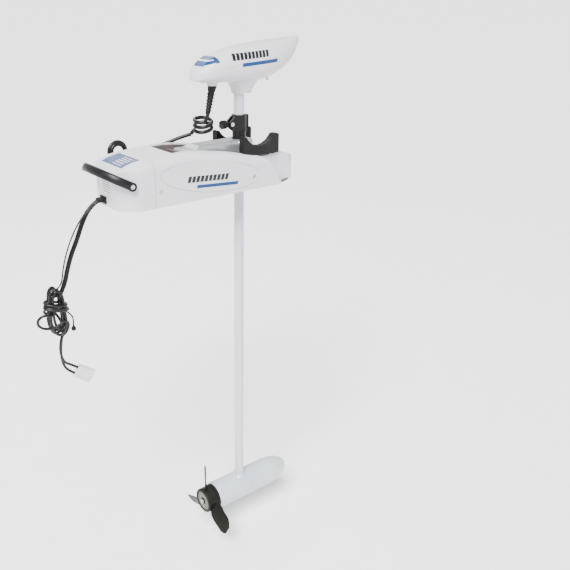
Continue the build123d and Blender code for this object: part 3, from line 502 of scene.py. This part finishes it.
def head_coil():
    """Turns of the cord under the head, from the top down."""
    points = []
    for share, turn in sweep(*HEAD_TURN):
        radius = COIL_R * (1 - WOBBLE * math.sin(WOBBLE_RATE * turn) ** 2)
        x = COIL_CENTRE[0] + radius * math.cos(turn)
        y = COIL_CENTRE[1] + radius * math.sin(turn)
        z = HEAD_COIL_Z[0] + (HEAD_COIL_Z[1] - HEAD_COIL_Z[0]) * share
        tilt = COIL_TILT * (TILT_SIDE[0] * math.cos(turn) + TILT_SIDE[1] * math.sin(turn))
        points.append((x, y, z + tilt))
    return points


MOUNT_ROUTE = [(6, 50, 139), (-16, 66, 131), (-50, 88, 115), (-90, 103, 104), (-126, 106, 98),
               (-158, 102, 102), (-184, 100, 101), (-204, 100, 101)]
GLAND_ROUTE = [(-210, 106, 80.4), (-232, 104, 80)]
MOUNT_COIL = (-189.0, 107.0)
MOUNT_TURN = (170.0, -450.0)
MOUNT_COIL_R = 18.5
MOUNT_COIL_GROWTH = 7.25   # added to the radius over the first stretch of the coil
GROWTH_RATE = 1.4
MOUNT_COIL_Y = 103
MOUNT_COIL_DRIFT = 4.5


def mount_coil():
    """Turns beside the cowl, from its left side over the top, ending at the bottom."""
    points = []
    for share, turn in sweep(*MOUNT_TURN):
        radius = MOUNT_COIL_R + MOUNT_COIL_GROWTH * min(1.0, share * GROWTH_RATE)
        points.append((MOUNT_COIL[0] + radius * math.cos(turn), MOUNT_COIL_Y + MOUNT_COIL_DRIFT * share,
                       MOUNT_COIL[1] + radius * math.sin(turn)))
    return points


head_cord = cord_piece("steering_cord_upper", HEAD_LEAVING + head_coil() + HEAD_ARRIVING, CORD_D)
mount_cord = cord_piece("steering_cord_lower", MOUNT_ROUTE + mount_coil() + GLAND_ROUTE, CORD_D)


# ---------------------------------------------------------------- what the cords are
for piece in (positive, negative, sense, mount_cord):
    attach(piece, "root")
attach(head_cord, "shaft")
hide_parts("lead_positive", "cable_hank")
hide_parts("lead_negative")
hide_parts("lead_sense")
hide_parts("head_cord")
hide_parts("mount_cord", "mount_cord_coil")

length_of(positive)
length_of(negative)
length_of(sense)
length_of(head_cord)
length_of(mount_cord)


# ---------------------------------------------------------------- finishes on the CAD nodes
for node, piece in NODES.items():
    dress(piece, SPECIAL.get(node, FINISHES[SLOT_OF[node]]))


# ---------------------------------------------------------------- floor and light
FLOOR_Z = -1.19
FLOOR_REACH = 160.0
SUN_FROM = (-1.5, -1.3, 2.6)
SUN_POWER = 8.0
SUN_ANGLE = math.radians(30)
SKY_COLOUR = (0.93, 0.94, 0.95, 1)
SKY_STRENGTH = 1.0


def add_floor():
    mesh = bpy.data.meshes.new("floor")
    corners = [(-FLOOR_REACH, -FLOOR_REACH, FLOOR_Z), (FLOOR_REACH, -FLOOR_REACH, FLOOR_Z),
               (FLOOR_REACH, FLOOR_REACH, FLOOR_Z), (-FLOOR_REACH, FLOOR_REACH, FLOOR_Z)]
    mesh.from_pydata(corners, [], [(0, 1, 2, 3)])
    floor = bpy.data.objects.new("floor", mesh)
    bpy.context.collection.objects.link(floor)
    n = shade("studio floor", (0.97, 0.97, 0.97), (0.95, 0.95, 0.95),
              rough=(0.75, 0.85), grain=40.0, depth=0.05)
    mesh.materials.append(n.material)


def add_light(name, at, target, size, power):
    data = bpy.data.lights.new(name, "AREA")
    data.energy = power
    data.shape = "DISK"
    data.size = size
    light = bpy.data.objects.new(name, data)
    light.location = at
    aim = mathutils.Vector(target) - mathutils.Vector(at)
    light.rotation_euler = aim.to_track_quat("-Z", "Y").to_euler()
    bpy.context.collection.objects.link(light)


def add_sun():
    data = bpy.data.lights.new("sun", "SUN")
    data.energy = SUN_POWER
    data.angle = SUN_ANGLE
    sun = bpy.data.objects.new("sun", data)
    sun.rotation_euler = mathutils.Vector(SUN_FROM).to_track_quat("Z", "Y").to_euler()
    bpy.context.collection.objects.link(sun)


def add_sky():
    world = bpy.data.worlds.new("studio")
    world.use_nodes = True
    background = world.node_tree.nodes["Background"]
    background.inputs["Color"].default_value = SKY_COLOUR
    background.inputs["Strength"].default_value = SKY_STRENGTH
    bpy.context.scene.world = world


add_floor()
add_sun()
add_light("key", at=(-2.6, -1.6, 2.4), target=(0, 0, -0.1), size=1.2, power=120)
add_light("fill", at=(2.6, -2.6, 1.2), target=(0, 0, -0.3), size=2.6, power=14)
add_light("back", at=(0.8, 3.0, 2.2), target=(0, 0, 0), size=2.4, power=50)
add_sky()
